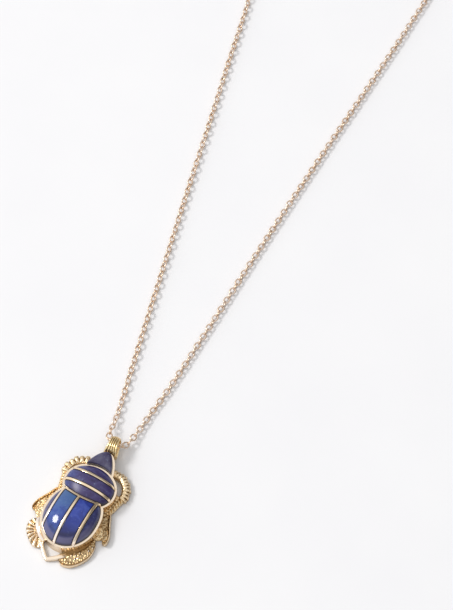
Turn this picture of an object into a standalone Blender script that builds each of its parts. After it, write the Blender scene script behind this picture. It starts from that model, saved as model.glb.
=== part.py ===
"""Scarab pendant on a neck chain, as laid on a table: +Z up, +Y towards the beetle's head."""
import math
import bpy
import bmesh
from mathutils import Matrix, Vector

for old in list(bpy.data.objects):
    bpy.data.objects.remove(old, do_unlink=True)

MM = 0.001

# Ovals of the beetle are ellipses, but for the squarer front of the wing cases
OVAL_POWER = 2.0

# Wing cases of the beetle: an oval, rear end of the pendant
WING_CENTRE_Y = -3.2 * MM
WING_HALF_WIDTH = 7.5 * MM
WING_HALF_LENGTH = 8.5 * MM
WING_FRONT_POWER = 2.4
WING_CROWN = 3.7 * MM

# Thorax: a second oval, across the first and a little narrower
THORAX_CENTRE_Y = 6.2 * MM
THORAX_SET_IN = 0.3 * MM
THORAX_HALF_WIDTH = WING_HALF_WIDTH - THORAX_SET_IN
THORAX_HALF_LENGTH = 5.95 * MM
THORAX_OVERRUN = 0.9 * MM
THORAX_CROWN = 3.1 * MM

# Head: a blunt arch
HEAD_BASE_Y = 11.2 * MM
HEAD_TIP_Y = 16.6 * MM
HEAD_HALF_WIDTH = 3.9 * MM
HEAD_SIDE_POWER = 2.0
HEAD_TIP_POWER = 0.85
HEAD_SIDE = 0.9 * MM
HEAD_CROWN = 0.8 * MM

# Cast gold setting
RIM_HEIGHT = 4.0 * MM
FLOOR_HEIGHT = 1.0 * MM
WALL = 0.55 * MM
HEAD_WALL = 0.6 * MM
BAR_WIDTH = 0.65 * MM
BAR_PROUD = 0.15 * MM
SEAM_PROUD = 0.25 * MM
BAR_ROOT = 0.3 * MM
WEB_WIDTH = 0.4 * MM
DOME_POWER = 0.55
DIVIDER_SHARES = (-51 / 75, -2 / 75, 44 / 75)
DIVIDER_XS = tuple(share * WING_HALF_WIDTH for share in DIVIDER_SHARES)
THORAX_BAR_YS = (5.1 * MM, 8.5 * MM)
SEAM_Y = 1.9 * MM
SEAM_RISE = 1.2 * MM
SEAM_SPAN = 5.8 * MM
SEAM_END = 5.3 * MM
SECTION_STEPS = 44
HALVINGS = 40

# Lapis inlays
INLAY_CLEARANCE = 0.05 * MM
INLAY_COLUMNS = 6
INLAY_ROWS = 7
STONE_ROUGHNESS = 0.15

# Front legs: toothed bows that reach round the thorax
BOW_CENTRE = (3.9 * MM, 8.6 * MM)
BOW_INNER_RADIUS = 3.45 * MM
BOW_ROOT_RADIUS = 5.15 * MM
BOW_TOOTH_RADIUS = 5.75 * MM
BOW_START_DEG = -12.0
BOW_END_DEG = 102.0
BOW_TEETH = 10
TOOTH_RISE = 0.3
TOOTH_FALL = 0.75
BOW_HEIGHT = 2.3 * MM

# Other legs and the tail in millimetres; leg outlines are right-hand ones, turned over for the left
FOOT_LIFT = 0.25 * MM
UPPER_LEG_LIFT = 0.35 * MM
TAIL_LIFT = 0.3 * MM
STEM_HEIGHT = 2.0 * MM
STEM_OUTLINE = ((6.4, 8.4), (6.2, 7.0), (6.2, 4.0), (5.6, 2.7), (7.6, 2.6), (8.1, 4.0), (8.5, 5.6),
                (8.8, 6.9), (9.2, 7.9))
MIDDLE_HEIGHT = 1.8 * MM
MIDDLE_OUTLINE = ((5.7, 2.3), (6.6, -1.2), (7.6, -1.4), (8.3, -2.1), (8.8, -3.1), (9.3, -4.1),
                  (10.0, -4.95), (10.5, -4.95), (10.9, -4.3), (10.85, -3.1), (10.5, -1.9), (9.9, -0.7),
                  (9.05, 1.0), (8.1, 2.9), (7.3, 3.7))
KNEE_HEIGHT = 1.3 * MM
RIGHT_KNEE_OUTLINE = ((6.7, -0.9), (7.0, -4.2), (7.6, -4.8), (8.3, -4.5), (9.1, -3.7), (9.2, -2.6),
                      (7.9, -1.0))
LEFT_KNEE_OUTLINE = ((6.7, -0.9), (6.9, -5.6), (7.8, -6.3), (8.6, -6.2), (9.3, -5.5), (9.9, -4.6),
                     (9.2, -3.1), (7.9, -1.0))
HIND_HEIGHT = 1.5 * MM
RIGHT_HIND_OUTLINE = ((7.1, -4.0), (7.0, -5.5), (6.4, -7.3), (5.3, -8.9), (4.0, -10.1), (2.5, -10.9),
                      (1.7, -12.7), (2.3, -13.7), (3.6, -14.5), (5.1, -14.3), (6.3, -13.6), (7.5, -12.3),
                      (8.5, -10.6), (9.0, -9.0), (9.0, -7.6), (8.7, -6.2), (8.0, -4.8))
LEFT_HIND_OUTLINE = ((7.2, -5.6), (6.4, -8.4), (5.3, -10.0), (4.0, -11.2), (3.2, -12.0), (3.6, -12.9),
                     (4.4, -13.4), (5.4, -13.4), (6.4, -12.9), (7.5, -12.1), (8.5, -11.1), (9.2, -10.1),
                     (9.5, -9.0), (9.5, -8.0), (9.1, -7.2), (8.3, -6.6))
THIGH_HEIGHT = 2.1 * MM
LEFT_THIGH_OUTLINE = ((7.0, -5.4), (6.2, -7.4), (5.0, -9.2), (3.4, -10.4), (3.5, -11.4), (4.8, -11.1),
                      (6.2, -10.1), (7.4, -8.8), (8.1, -7.5), (8.15, -6.7), (7.8, -6.1))
TAIL_HEIGHT = 1.4 * MM
TAIL_OUTLINE = ((3.1, -10.4), (2.8, -11.5), (1.9, -12.4), (1.0, -13.2), (0.1, -13.9), (-0.5, -14.3),
                (-1.5, -13.4), (-2.7, -12.2), (-3.2, -11.4), (-3.3, -10.4), (-4.3, -10.4), (-4.3, -11.6),
                (-3.6, -12.5), (-2.6, -13.6), (-1.2, -14.9), (-0.5, -15.3), (0.6, -14.75), (1.7, -14.0),
                (2.8, -13.1), (3.8, -12.2), (4.2, -11.4), (4.2, -10.4))

# Bail: a fluted band bent into a loop, its foot spread and curved round the front of the head
BAIL_GAP = 0.02 * MM
BAIL_LEAN = 0.15
BAIL_SHIFT_X = -0.05 * MM
BAIL_FOOT_WIDTH = 3.8 * MM
BAIL_TOP_WIDTH = 2.35 * MM
BAIL_TAPER_POWER = 2.0
BAIL_HUG = 2.6 * MM
BAIL_INNER = 0.25 * MM
BAIL_EDGE = 0.1 * MM
BAIL_CROWN = 0.4 * MM
BAIL_FLUTE_DEPTH = 0.14 * MM
BAIL_FLUTES = 5
BAIL_STEPS = 22
BAIL_PATH = ((0.42, 1.9), (0.46, 3.1), (0.75, 4.15), (1.55, 4.8), (2.65, 5.0), (3.75, 4.7), (4.5, 4.0),
             (4.75, 3.0), (4.5, 2.0), (3.75, 1.3), (2.65, 1.0), (1.55, 0.95), (0.7, 1.2))

# Chain: alternate flat and upright links of round wire, closed far beyond the pendant
LINK_WIDTH = 1.85 * MM
LINK_PITCH = 1.58 * MM
LINK_THICKNESS = 0.5 * MM
JOINT_WIDTH = 0.75 * MM
ROUTE_DETAIL = 24
ROUTE = ((-0.6, 19.9, 3.0), (1.1, 20.2, 2.8), (2.1, 21.6, 2.2), (2.4, 24.4, 1.6), (2.6, 27.7, 1.1),
         (2.8, 32.5, 0.93), (3.5, 42.4, 0.93), (4.0, 62.7, 0.93), (4.4, 83.7, 0.93), (5.0, 105.5, 0.93),
         (5.8, 128.2, 0.93), (6.8, 151.7, 0.93), (7.6, 175.7, 0.93), (7.6, 193.0, 0.93), (4.0, 208.5, 0.93),
         (-6.5, 219.5, 0.93), (-21.0, 223.0, 0.93), (-35.0, 217.0, 0.93), (-43.0, 204.0, 0.93),
         (-44.5, 188.5, 0.93), (-41.0, 173.0, 0.93), (-37.0, 159.7, 0.93), (-31.9, 138.4, 0.93),
         (-26.9, 118.1, 0.93), (-22.1, 98.1, 0.93), (-17.4, 79.0, 0.93), (-12.8, 60.5, 0.93),
         (-8.3, 42.5, 0.93), (-5.6, 32.0, 0.93), (-4.4, 27.0, 1.3), (-3.8, 23.9, 2.0),
         (-3.3, 21.9, 2.6), (-2.3, 20.1, 2.95))


def finished(name, mesh, material, smooth_deg=35.0):
    """Object with outward faces and its own material."""
    shell = bmesh.new()
    shell.from_mesh(mesh)
    bmesh.ops.recalc_face_normals(shell, faces=shell.faces)
    shell.to_mesh(mesh)
    shell.free()
    mesh.materials.clear()
    mesh.materials.append(material)
    mesh.shade_smooth()
    mesh.set_sharp_from_angle(angle=math.radians(smooth_deg))
    thing = bpy.data.objects.new(name, mesh)
    bpy.context.scene.collection.objects.link(thing)
    return thing


def metal(name, colour, roughness):
    """Polished gold-coloured metal."""
    material = bpy.data.materials.new(name)
    material.use_nodes = True
    shader = material.node_tree.nodes["Principled BSDF"]
    shader.inputs["Base Color"].default_value = (*colour, 1.0)
    shader.inputs["Metallic"].default_value = 1.0
    shader.inputs["Roughness"].default_value = roughness
    return material


def lapis(name, colour):
    """Polished blue stone."""
    material = bpy.data.materials.new(name)
    material.use_nodes = True
    shader = material.node_tree.nodes["Principled BSDF"]
    shader.inputs["Base Color"].default_value = (*colour, 1.0)
    shader.inputs["Metallic"].default_value = 0.0
    shader.inputs["Roughness"].default_value = STONE_ROUGHNESS
    return material


def spread(low, high, steps):
    """Positions from low to high, closer together at both ends."""
    middle = (low + high) / 2
    half = (high - low) / 2
    return [middle - half * math.cos(math.pi * i / steps) for i in range(steps + 1)]


def oval_edge(x, centre_y, half_width, half_length, side, power=OVAL_POWER):
    """The y of an oval's edge at x, on its rear (side -1) or front (side 1)."""
    inside = max(0.0, 1 - abs(x / half_width) ** power)
    return centre_y + side * half_length * inside ** (1 / power)


def wing_edge(x, side, inset=0.0):
    """Edge of the wing oval, moved inwards by inset."""
    power = WING_FRONT_POWER if side > 0 else OVAL_POWER
    return oval_edge(x, WING_CENTRE_Y, WING_HALF_WIDTH - inset, WING_HALF_LENGTH - inset, side, power)


def thorax_edge(x, side, inset=0.0):
    """Edge of the thorax oval, moved inwards by inset."""
    return oval_edge(x, THORAX_CENTRE_Y, THORAX_HALF_WIDTH - inset, THORAX_HALF_LENGTH - inset, side)


def head_edge(x, inset=0.0):
    """Front edge of the head at x."""
    share = min(1.0, abs(x) / (HEAD_HALF_WIDTH - inset))
    rise = (1 - share ** HEAD_SIDE_POWER) ** HEAD_TIP_POWER
    return HEAD_BASE_Y + (HEAD_TIP_Y - inset - HEAD_BASE_Y) * rise


def seam(x):
    """Line between the thorax and the wing cases."""
    return SEAM_Y + SEAM_RISE * (x / SEAM_SPAN) ** 2


def depth(across, along, power=OVAL_POWER):
    """How deep inside an oval a place lies, from 0 at its edge to 1 at its centre."""
    return max(0.0, 1 - (abs(across) ** power + abs(along) ** power) ** (2 / power))


def wing_top(x, y):
    """Height of the wing cases: a dome on the rim."""
    power = WING_FRONT_POWER if y > WING_CENTRE_Y else OVAL_POWER
    inside = depth(x / (WING_HALF_WIDTH - WALL), (y - WING_CENTRE_Y) / (WING_HALF_LENGTH - WALL), power)
    return RIM_HEIGHT + WING_CROWN * inside ** DOME_POWER


def thorax_top(x, y):
    """Height of the thorax: a dome on the rim that runs on past the seam at its middle."""
    reach = THORAX_HALF_LENGTH - WALL
    if y < THORAX_CENTRE_Y:
        reach += THORAX_OVERRUN * max(0.0, 1 - (x / SEAM_SPAN) ** 2)
    inside = depth(x / (THORAX_HALF_WIDTH - WALL), (y - THORAX_CENTRE_Y) / reach)
    return RIM_HEIGHT + THORAX_CROWN * inside ** DOME_POWER


def seam_top(x, y):
    """Height of the bar on the seam: the higher of the domes on either side of it."""
    return max(wing_top(x, y), thorax_top(x, y))


def span_end(low, high, widest):
    """Largest x at which a region between two curves is still open."""
    inner = 0.0
    outer = widest
    for _ in range(HALVINGS):
        middle = (inner + outer) / 2
        if high(middle) > low(middle):
            inner = middle
        else:
            outer = middle
    return inner


def with_corners(xs, corner):
    """Columns with one more at a corner on either side, where the span has it."""
    added = [x for x in (-corner, corner) if xs[0] < x < xs[-1]]
    return sorted(xs + added)


def region_outline(xs, low, high):
    """Closed outline of the region between two curves."""
    return [(x, low(x)) for x in xs] + [(x, high(x)) for x in reversed(xs)]


def prism(outline, bottom, top):
    """Upright solid on an outline."""
    shell = bmesh.new()
    below = [shell.verts.new((x, y, bottom)) for x, y in outline]
    above = [shell.verts.new((x, y, top)) for x, y in outline]
    shell.faces.new(below)
    shell.faces.new(above)
    for i in range(len(outline)):
        j = (i + 1) % len(outline)
        shell.faces.new((below[i], below[j], above[j], above[i]))
    bmesh.ops.remove_doubles(shell, verts=shell.verts, dist=1e-7)
    bmesh.ops.recalc_face_normals(shell, faces=shell.faces)
    mesh = bpy.data.meshes.new("prism")
    shell.to_mesh(mesh)
    shell.free()
    return mesh


def tile(xs, low, high, rows, bottom, top):
    """Solid between two curves, with a flat underside and a domed top."""
    shell = bmesh.new()
    grid = []
    for x in xs:
        start = low(x)
        step = (high(x) - start) / rows
        ys = [start + step * j for j in range(rows + 1)]
        grid.append([shell.verts.new((x, y, top(x, y))) for y in ys])
    for i in range(len(xs) - 1):
        for j in range(rows):
            shell.faces.new((grid[i][j], grid[i + 1][j], grid[i + 1][j + 1], grid[i][j + 1]))
    rim = [column[0] for column in grid] + grid[-1][1:-1]
    rim += [column[-1] for column in reversed(grid)] + list(reversed(grid[0][1:-1]))
    below = [shell.verts.new((v.co.x, v.co.y, bottom)) for v in rim]
    for i in range(len(rim)):
        j = (i + 1) % len(rim)
        shell.faces.new((below[i], below[j], rim[j], rim[i]))
    shell.faces.new(below)
    bmesh.ops.recalc_face_normals(shell, faces=shell.faces)
    mesh = bpy.data.meshes.new("tile")
    shell.to_mesh(mesh)
    shell.free()
    return mesh


def combine(base, pieces, operation):
    """Base mesh with every piece joined to it or cut from it."""
    for piece in pieces:
        body = bpy.data.objects.new("body", base)
        tool = bpy.data.objects.new("tool", piece)
        bpy.context.scene.collection.objects.link(body)
        bpy.context.scene.collection.objects.link(tool)
        step = body.modifiers.new("step", "BOOLEAN")
        step.operation = operation
        step.object = tool
        bpy.context.view_layer.update()
        graph = bpy.context.evaluated_depsgraph_get()
        base = bpy.data.meshes.new_from_object(body.evaluated_get(graph))
        bpy.data.objects.remove(body)
        bpy.data.objects.remove(tool)
    return base


def mirrored(outline):
    """Left-hand outline from a right-hand one."""
    return [(-x, y) for x, y in reversed(outline)]


def left_leg(outline_mm, bottom, top):
    """A leg on the left, given as a right-hand outline."""
    return prism(mirrored([(x * MM, y * MM) for x, y in outline_mm]), bottom, top)


def pair(right_mm, left_mm, bottom, top):
    """A leg on the right and its fellow on the left, both given as right-hand outlines."""
    right = [(x * MM, y * MM) for x, y in right_mm]
    return [prism(right, bottom, top), left_leg(left_mm, bottom, top)]


def bow_outline():
    """Front leg: inner arc, then a row of teeth along the outer arc."""
    start = math.radians(BOW_START_DEG)
    sweep = math.radians(BOW_END_DEG) - start
    polar = [(BOW_INNER_RADIUS, start + sweep * (1 - i / BOW_TEETH)) for i in range(BOW_TEETH + 1)]
    for tooth in range(BOW_TEETH):
        corners = ((0.0, BOW_ROOT_RADIUS), (TOOTH_RISE, BOW_TOOTH_RADIUS), (TOOTH_FALL, BOW_TOOTH_RADIUS))
        for share, radius in corners:
            polar.append((radius, start + sweep * (tooth + share) / BOW_TEETH))
    polar.append((BOW_ROOT_RADIUS, start + sweep))
    centre_x, centre_y = BOW_CENTRE
    return [(centre_x + r * math.cos(a), centre_y + r * math.sin(a)) for r, a in polar]


def wing_bar(x_middle):
    """Bar that runs the length of the wing cases."""
    xs = [x_middle - BAR_WIDTH / 2, x_middle, x_middle + BAR_WIDTH / 2]
    return tile(xs, lambda x: wing_edge(x, -1, WALL / 2), seam, INLAY_ROWS + 2, FLOOR_HEIGHT - BAR_ROOT,
                lambda x, y: wing_top(x, y) + BAR_PROUD)


def thorax_bar(y_middle):
    """Bar that runs across the thorax."""
    y_ratio = (y_middle - THORAX_CENTRE_Y) / (THORAX_HALF_LENGTH - WALL / 2)
    end = (THORAX_HALF_WIDTH - WALL / 2) * math.sqrt(1 - y_ratio ** 2)
    return tile(spread(-end, end, 2 * INLAY_COLUMNS), lambda x: y_middle - BAR_WIDTH / 2,
                lambda x: y_middle + BAR_WIDTH / 2, 2, FLOOR_HEIGHT - BAR_ROOT,
                lambda x, y: thorax_top(x, y) + BAR_PROUD)


def seam_bar():
    """Curved bar between the thorax and the wing cases."""
    return tile(spread(-SEAM_END, SEAM_END, 2 * INLAY_COLUMNS), lambda x: seam(x) - BAR_WIDTH / 2,
                lambda x: seam(x) + BAR_WIDTH / 2, 2, FLOOR_HEIGHT - BAR_ROOT,
                lambda x, y: seam_top(x, y) + SEAM_PROUD)


def cavities():
    """Three hollows in the setting: wing cases, thorax and head."""
    above = RIM_HEIGHT + WALL

    def wing_low(x):
        return wing_edge(x, -1, WALL)

    def wing_high(x):
        return min(wing_edge(x, 1, WALL), seam(x) - WEB_WIDTH / 2)

    def thorax_low(x):
        return max(thorax_edge(x, -1, WALL), seam(x) + WEB_WIDTH / 2)

    def thorax_high(x):
        return thorax_edge(x, 1, WALL)

    def head_low(x):
        return thorax_edge(x, 1)

    def head_high(x):
        return head_edge(x, HEAD_WALL)

    wing_end = WING_HALF_WIDTH - WALL
    wing_corner = span_end(lambda x: seam(x) - WEB_WIDTH / 2, lambda x: wing_edge(x, 1, WALL), wing_end)
    thorax_end = THORAX_HALF_WIDTH - WALL
    thorax_corner = span_end(lambda x: thorax_edge(x, -1, WALL), lambda x: seam(x) + WEB_WIDTH / 2,
                             thorax_end)
    head_end = span_end(head_low, head_high, HEAD_HALF_WIDTH)
    half = SECTION_STEPS // 2
    wing_xs = with_corners(spread(-wing_end, wing_end, half), wing_corner)
    thorax_xs = with_corners(spread(-thorax_end, thorax_end, half), thorax_corner)
    head_xs = spread(-head_end, head_end, half)
    outlines = (region_outline(wing_xs, wing_low, wing_high),
                region_outline(thorax_xs, thorax_low, thorax_high),
                region_outline(head_xs, head_low, head_high))
    return [prism(outline, FLOOR_HEIGHT, above) for outline in outlines]


def build_setting(material):
    """Cast gold setting: floor, walls, bars between the stones, legs and tail."""
    half = SECTION_STEPS // 2
    wing = region_outline(spread(-WING_HALF_WIDTH, WING_HALF_WIDTH, half),
                          lambda x: wing_edge(x, -1), lambda x: wing_edge(x, 1))
    thorax = region_outline(spread(-THORAX_HALF_WIDTH, THORAX_HALF_WIDTH, half),
                            lambda x: thorax_edge(x, -1), lambda x: thorax_edge(x, 1))
    head = region_outline(spread(-HEAD_HALF_WIDTH, HEAD_HALF_WIDTH, half),
                          lambda x: THORAX_CENTRE_Y, head_edge)
    walls = [prism(thorax, 0.0, RIM_HEIGHT), prism(head, 0.0, RIM_HEIGHT)]
    bow = bow_outline()
    legs = [prism(bow, FOOT_LIFT, BOW_HEIGHT), prism(mirrored(bow), FOOT_LIFT, BOW_HEIGHT)]
    legs += pair(STEM_OUTLINE, STEM_OUTLINE, UPPER_LEG_LIFT, STEM_HEIGHT)
    legs += pair(MIDDLE_OUTLINE, MIDDLE_OUTLINE, FOOT_LIFT, MIDDLE_HEIGHT)
    legs += pair(RIGHT_KNEE_OUTLINE, LEFT_KNEE_OUTLINE, UPPER_LEG_LIFT, KNEE_HEIGHT)
    legs.append(left_leg(LEFT_THIGH_OUTLINE, UPPER_LEG_LIFT, THIGH_HEIGHT))
    legs += pair(RIGHT_HIND_OUTLINE, LEFT_HIND_OUTLINE, FOOT_LIFT, HIND_HEIGHT)
    legs.append(prism([(x * MM, y * MM) for x, y in TAIL_OUTLINE], TAIL_LIFT, TAIL_HEIGHT))
    body = combine(prism(wing, 0.0, RIM_HEIGHT), walls + legs, "UNION")
    body = combine(body, cavities(), "DIFFERENCE")
    bars = [wing_bar(x) for x in DIVIDER_XS]
    bars += [thorax_bar(y) for y in THORAX_BAR_YS]
    bars.append(seam_bar())
    return finished("setting", combine(body, bars, "UNION"), material)


def build_wing_stones(materials):
    """Two broad stones beside the middle bar and a narrow one outside each."""
    inset = WALL + INLAY_CLEARANCE
    bar = BAR_WIDTH / 2 + INLAY_CLEARANCE
    left_bar, middle_bar, right_bar = DIVIDER_XS

    def low(x):
        return wing_edge(x, -1, inset)

    def high(x):
        return min(wing_edge(x, 1, inset), seam(x) - bar)

    edge = span_end(low, high, WING_HALF_WIDTH - inset) - INLAY_CLEARANCE
    spans = {
        "wing_stone_left_outer": (-edge, left_bar - bar),
        "wing_stone_left_inner": (left_bar + bar, middle_bar - bar),
        "wing_stone_right_inner": (middle_bar + bar, right_bar - bar),
        "wing_stone_right_outer": (right_bar + bar, edge),
    }
    corner = span_end(lambda x: seam(x) - bar, lambda x: wing_edge(x, 1, inset), WING_HALF_WIDTH - inset)
    for name, (start, end) in spans.items():
        columns = with_corners(spread(start, end, INLAY_COLUMNS), corner)
        mesh = tile(columns, low, high, INLAY_ROWS, FLOOR_HEIGHT + INLAY_CLEARANCE, wing_top)
        finished(name, mesh, materials[name])


def build_thorax_stones(materials):
    """Three stones across the thorax."""
    inset = WALL + INLAY_CLEARANCE
    bar = BAR_WIDTH / 2 + INLAY_CLEARANCE
    rear_bar, front_bar = THORAX_BAR_YS
    limits = {
        "thorax_stone_rear": (lambda x: seam(x) + bar, lambda x: rear_bar - bar),
        "thorax_stone_middle": (lambda x: rear_bar + bar, lambda x: front_bar - bar),
        "thorax_stone_front": (lambda x: front_bar + bar, lambda x: thorax_edge(0.0, 1, inset)),
    }
    for name, (lower, upper) in limits.items():
        def low(x):
            return max(thorax_edge(x, -1, inset), lower(x))

        def high(x):
            return min(thorax_edge(x, 1, inset), upper(x))

        edge = span_end(low, high, THORAX_HALF_WIDTH - inset) - INLAY_CLEARANCE
        columns = spread(-edge, edge, 2 * INLAY_COLUMNS)
        mesh = tile(columns, low, high, INLAY_ROWS // 2, FLOOR_HEIGHT + INLAY_CLEARANCE, thorax_top)
        finished(name, mesh, materials[name])


def build_head_stone(material):
    """Stone in the head: an upright side on the rim, then a low cushion."""
    inset = HEAD_WALL + INLAY_CLEARANCE

    def low(x):
        return thorax_edge(x, 1, -INLAY_CLEARANCE)

    def high(x):
        return head_edge(x, inset)

    edge = span_end(low, high, HEAD_HALF_WIDTH - inset) - INLAY_CLEARANCE

    def top(x, y):
        along = min(1.0, max(0.0, (y - low(x)) / (high(x) - low(x))))
        across = 1 - (x / edge) ** 2
        swell = max(0.0, math.sin(math.pi * along)) * max(0.0, across)
        return RIM_HEIGHT + HEAD_SIDE + HEAD_CROWN * swell ** DOME_POWER

    columns = spread(-edge, edge, 2 * INLAY_COLUMNS)
    mesh = tile(columns, low, high, INLAY_ROWS, FLOOR_HEIGHT + INLAY_CLEARANCE, top)
    finished("head_stone", mesh, material)


def smooth_loop(points, detail):
    """Closed smooth curve through points, as many short steps."""
    count = len(points)
    curve = []
    for i in range(count):
        before, start, end, after = (points[(i + k) % count] for k in (-1, 0, 1, 2))
        for step in range(detail):
            t = step / detail
            bend = (2 * before - 5 * start + 4 * end - after) * t * t
            twist = (3 * start - before - 3 * end + after) * t * t * t
            curve.append((2 * start + (end - before) * t + bend + twist) / 2)
    return curve


def even_loop(curve, count):
    """Evenly spaced places along a closed curve, with the way it runs at each."""
    lengths = [0.0]
    for i in range(len(curve)):
        lengths.append(lengths[-1] + (curve[(i + 1) % len(curve)] - curve[i]).length)
    places = []
    index = 0
    for k in range(count):
        target = lengths[-1] * k / count
        while lengths[index + 1] < target:
            index += 1
        start = curve[index]
        step = curve[(index + 1) % len(curve)] - start
        share = (target - lengths[index]) / (lengths[index + 1] - lengths[index])
        places.append((start + step * share, step.normalized()))
    return places, lengths[-1]


def ring_of_sections(sections):
    """Closed tube through a ring of equal-sized sections."""
    shell = bmesh.new()
    rings = [[shell.verts.new(point) for point in section] for section in sections]
    size = len(sections[0])
    for i in range(len(rings)):
        here = rings[i]
        there = rings[(i + 1) % len(rings)]
        for j in range(size):
            k = (j + 1) % size
            shell.faces.new((here[j], there[j], there[k], here[k]))
    mesh = bpy.data.meshes.new("ring")
    shell.to_mesh(mesh)
    shell.free()
    return mesh


def bail_place(across, along, height):
    """A place on the bail, its foot drawn back round the head and its far end to the left."""
    foot = head_edge(across + BAIL_SHIFT_X) - HEAD_TIP_Y
    hug = max(0.0, 1 - along / BAIL_HUG)
    return Vector((across - BAIL_LEAN * along, along + foot * hug + BAIL_LEAN * across * (1 - hug), height))


def build_bail(material):
    """Fluted band, broad at the foot and narrower at the far end, bent into a closed loop."""
    path = [Vector((0.0, y * MM, z * MM)) for y, z in BAIL_PATH]
    places, _ = even_loop(smooth_loop(path, ROUTE_DETAIL), BAIL_STEPS)
    reach = max(point.y for point, _ in places)
    sections = []
    for point, way in places:
        spread_out = (1 - point.y / reach) ** BAIL_TAPER_POWER
        width = BAIL_TOP_WIDTH + (BAIL_FOOT_WIDTH - BAIL_TOP_WIDTH) * spread_out
        lifts = []
        for i in range(2 * BAIL_FLUTES + 1):
            across = i / BAIL_FLUTES - 1
            groove = BAIL_FLUTE_DEPTH if i % 2 == 0 else 0.0
            lifts.append((across, BAIL_EDGE + (BAIL_CROWN - BAIL_EDGE) * (1 - across ** 2) - groove))
        lifts += [(1, -BAIL_INNER), (-1, -BAIL_INNER)]
        sections.append([bail_place(across * width / 2, point.y - way.z * lift, point.z + way.y * lift)
                         for across, lift in lifts])
    bail = finished("bail", ring_of_sections(sections), material)
    bail.location = (BAIL_SHIFT_X, HEAD_TIP_Y + BAIL_GAP, 0.0)
    return bail


def build_chain(material):
    """One closed strand of links, each broad at its middle and narrow where two links hook together."""
    curve = smooth_loop([Vector(point) * MM for point in ROUTE], ROUTE_DETAIL)
    _, length = even_loop(curve, 1)
    links = 2 * round(length / LINK_PITCH / 2)
    places, _ = even_loop(curve, 2 * links)
    sections = []
    for i, (point, way) in enumerate(places):
        side = way.cross(Vector((0.0, 0.0, 1.0))).normalized()
        rise = side.cross(way)
        if i % 2:
            across = JOINT_WIDTH / 2
            upright = JOINT_WIDTH / 2
        else:
            flat = i % 4 == 0
            across = (LINK_WIDTH if flat else LINK_THICKNESS) / 2
            upright = (LINK_THICKNESS if flat else LINK_WIDTH) / 2
        sections.append([point + side * across, point + rise * upright,
                         point - side * across, point - rise * upright])
    return finished("chain", ring_of_sections(sections), material)


BRIGHT_BLUE = (0.045, 0.085, 0.42)
DEEP_BLUE = (0.035, 0.035, 0.16)
STONE_COLOURS = {
    "wing_stone_left_outer": DEEP_BLUE,
    "wing_stone_left_inner": BRIGHT_BLUE,
    "wing_stone_right_inner": BRIGHT_BLUE,
    "wing_stone_right_outer": DEEP_BLUE,
    "thorax_stone_rear": DEEP_BLUE,
    "thorax_stone_middle": DEEP_BLUE,
    "thorax_stone_front": DEEP_BLUE,
    "head_stone": DEEP_BLUE,
}
stones = {name: lapis("lapis_" + name, colour) for name, colour in STONE_COLOURS.items()}

build_setting(metal("setting_gold", (0.83, 0.62, 0.34), 0.22))
build_wing_stones(stones)
build_thorax_stones(stones)
build_head_stone(stones["head_stone"])
build_bail(metal("bail_gold", (0.85, 0.65, 0.34), 0.2))
build_chain(metal("chain_gold", (0.79, 0.60, 0.46), 0.25))
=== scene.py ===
import math
import bpy
import bmesh
import numpy as np
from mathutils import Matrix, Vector, noise


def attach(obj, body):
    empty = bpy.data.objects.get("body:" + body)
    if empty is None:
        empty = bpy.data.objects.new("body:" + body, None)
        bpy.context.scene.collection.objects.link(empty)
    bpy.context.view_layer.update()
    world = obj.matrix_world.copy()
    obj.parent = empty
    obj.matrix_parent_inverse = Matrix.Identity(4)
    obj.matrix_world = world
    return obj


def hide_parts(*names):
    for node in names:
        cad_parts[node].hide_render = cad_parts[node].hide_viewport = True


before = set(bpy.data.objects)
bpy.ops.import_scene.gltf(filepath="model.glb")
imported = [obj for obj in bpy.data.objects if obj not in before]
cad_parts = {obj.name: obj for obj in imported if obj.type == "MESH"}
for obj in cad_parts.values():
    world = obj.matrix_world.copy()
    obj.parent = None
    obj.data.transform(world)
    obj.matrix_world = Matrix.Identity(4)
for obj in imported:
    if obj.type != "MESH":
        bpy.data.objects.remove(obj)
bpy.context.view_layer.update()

# View: a long lens above the tail end, tilted 62 degrees down, the beetle turned 28.5 degrees to the right.
# The pendant lies on a white sheet in a pale room, with one small round lamp at the left.
MM = 0.001
CAMERA_PLACE = (124.6, -150.6, 473.0)
CAMERA_TURN = (28.0, 0.0, 28.5)
FOCAL_LENGTH_PX, PICTURE_HEIGHT_PX = 2000.0, 610.0
SENSOR_HEIGHT = 24.0
WELD_METRES = 1e-7
SHEET_HALF = 900
ROOM_CEILING = 0.92
CEILING_FROM, CEILING_FULL = 0.60, 0.88
ROOM_AWAY = (0.74, 0.67, 0.0)
ROOM_WALLS = ((0.10, 1.0), (0.45, 0.85), (0.62, 0.45), (0.90, 0.22))
scene = bpy.context.scene
scene.view_settings.view_transform = "Standard"
camera = bpy.data.objects.new("camera", bpy.data.cameras.new("camera"))
scene.collection.objects.link(camera)
camera.location = [place * MM for place in CAMERA_PLACE]
camera.rotation_euler = [math.radians(turn) for turn in CAMERA_TURN]
camera.data.sensor_fit = "VERTICAL"
camera.data.sensor_height = SENSOR_HEIGHT
camera.data.lens = FOCAL_LENGTH_PX / PICTURE_HEIGHT_PX * SENSOR_HEIGHT
camera.data.clip_start = 0.01
camera.data.clip_end = 10.0
scene.camera = camera


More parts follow.
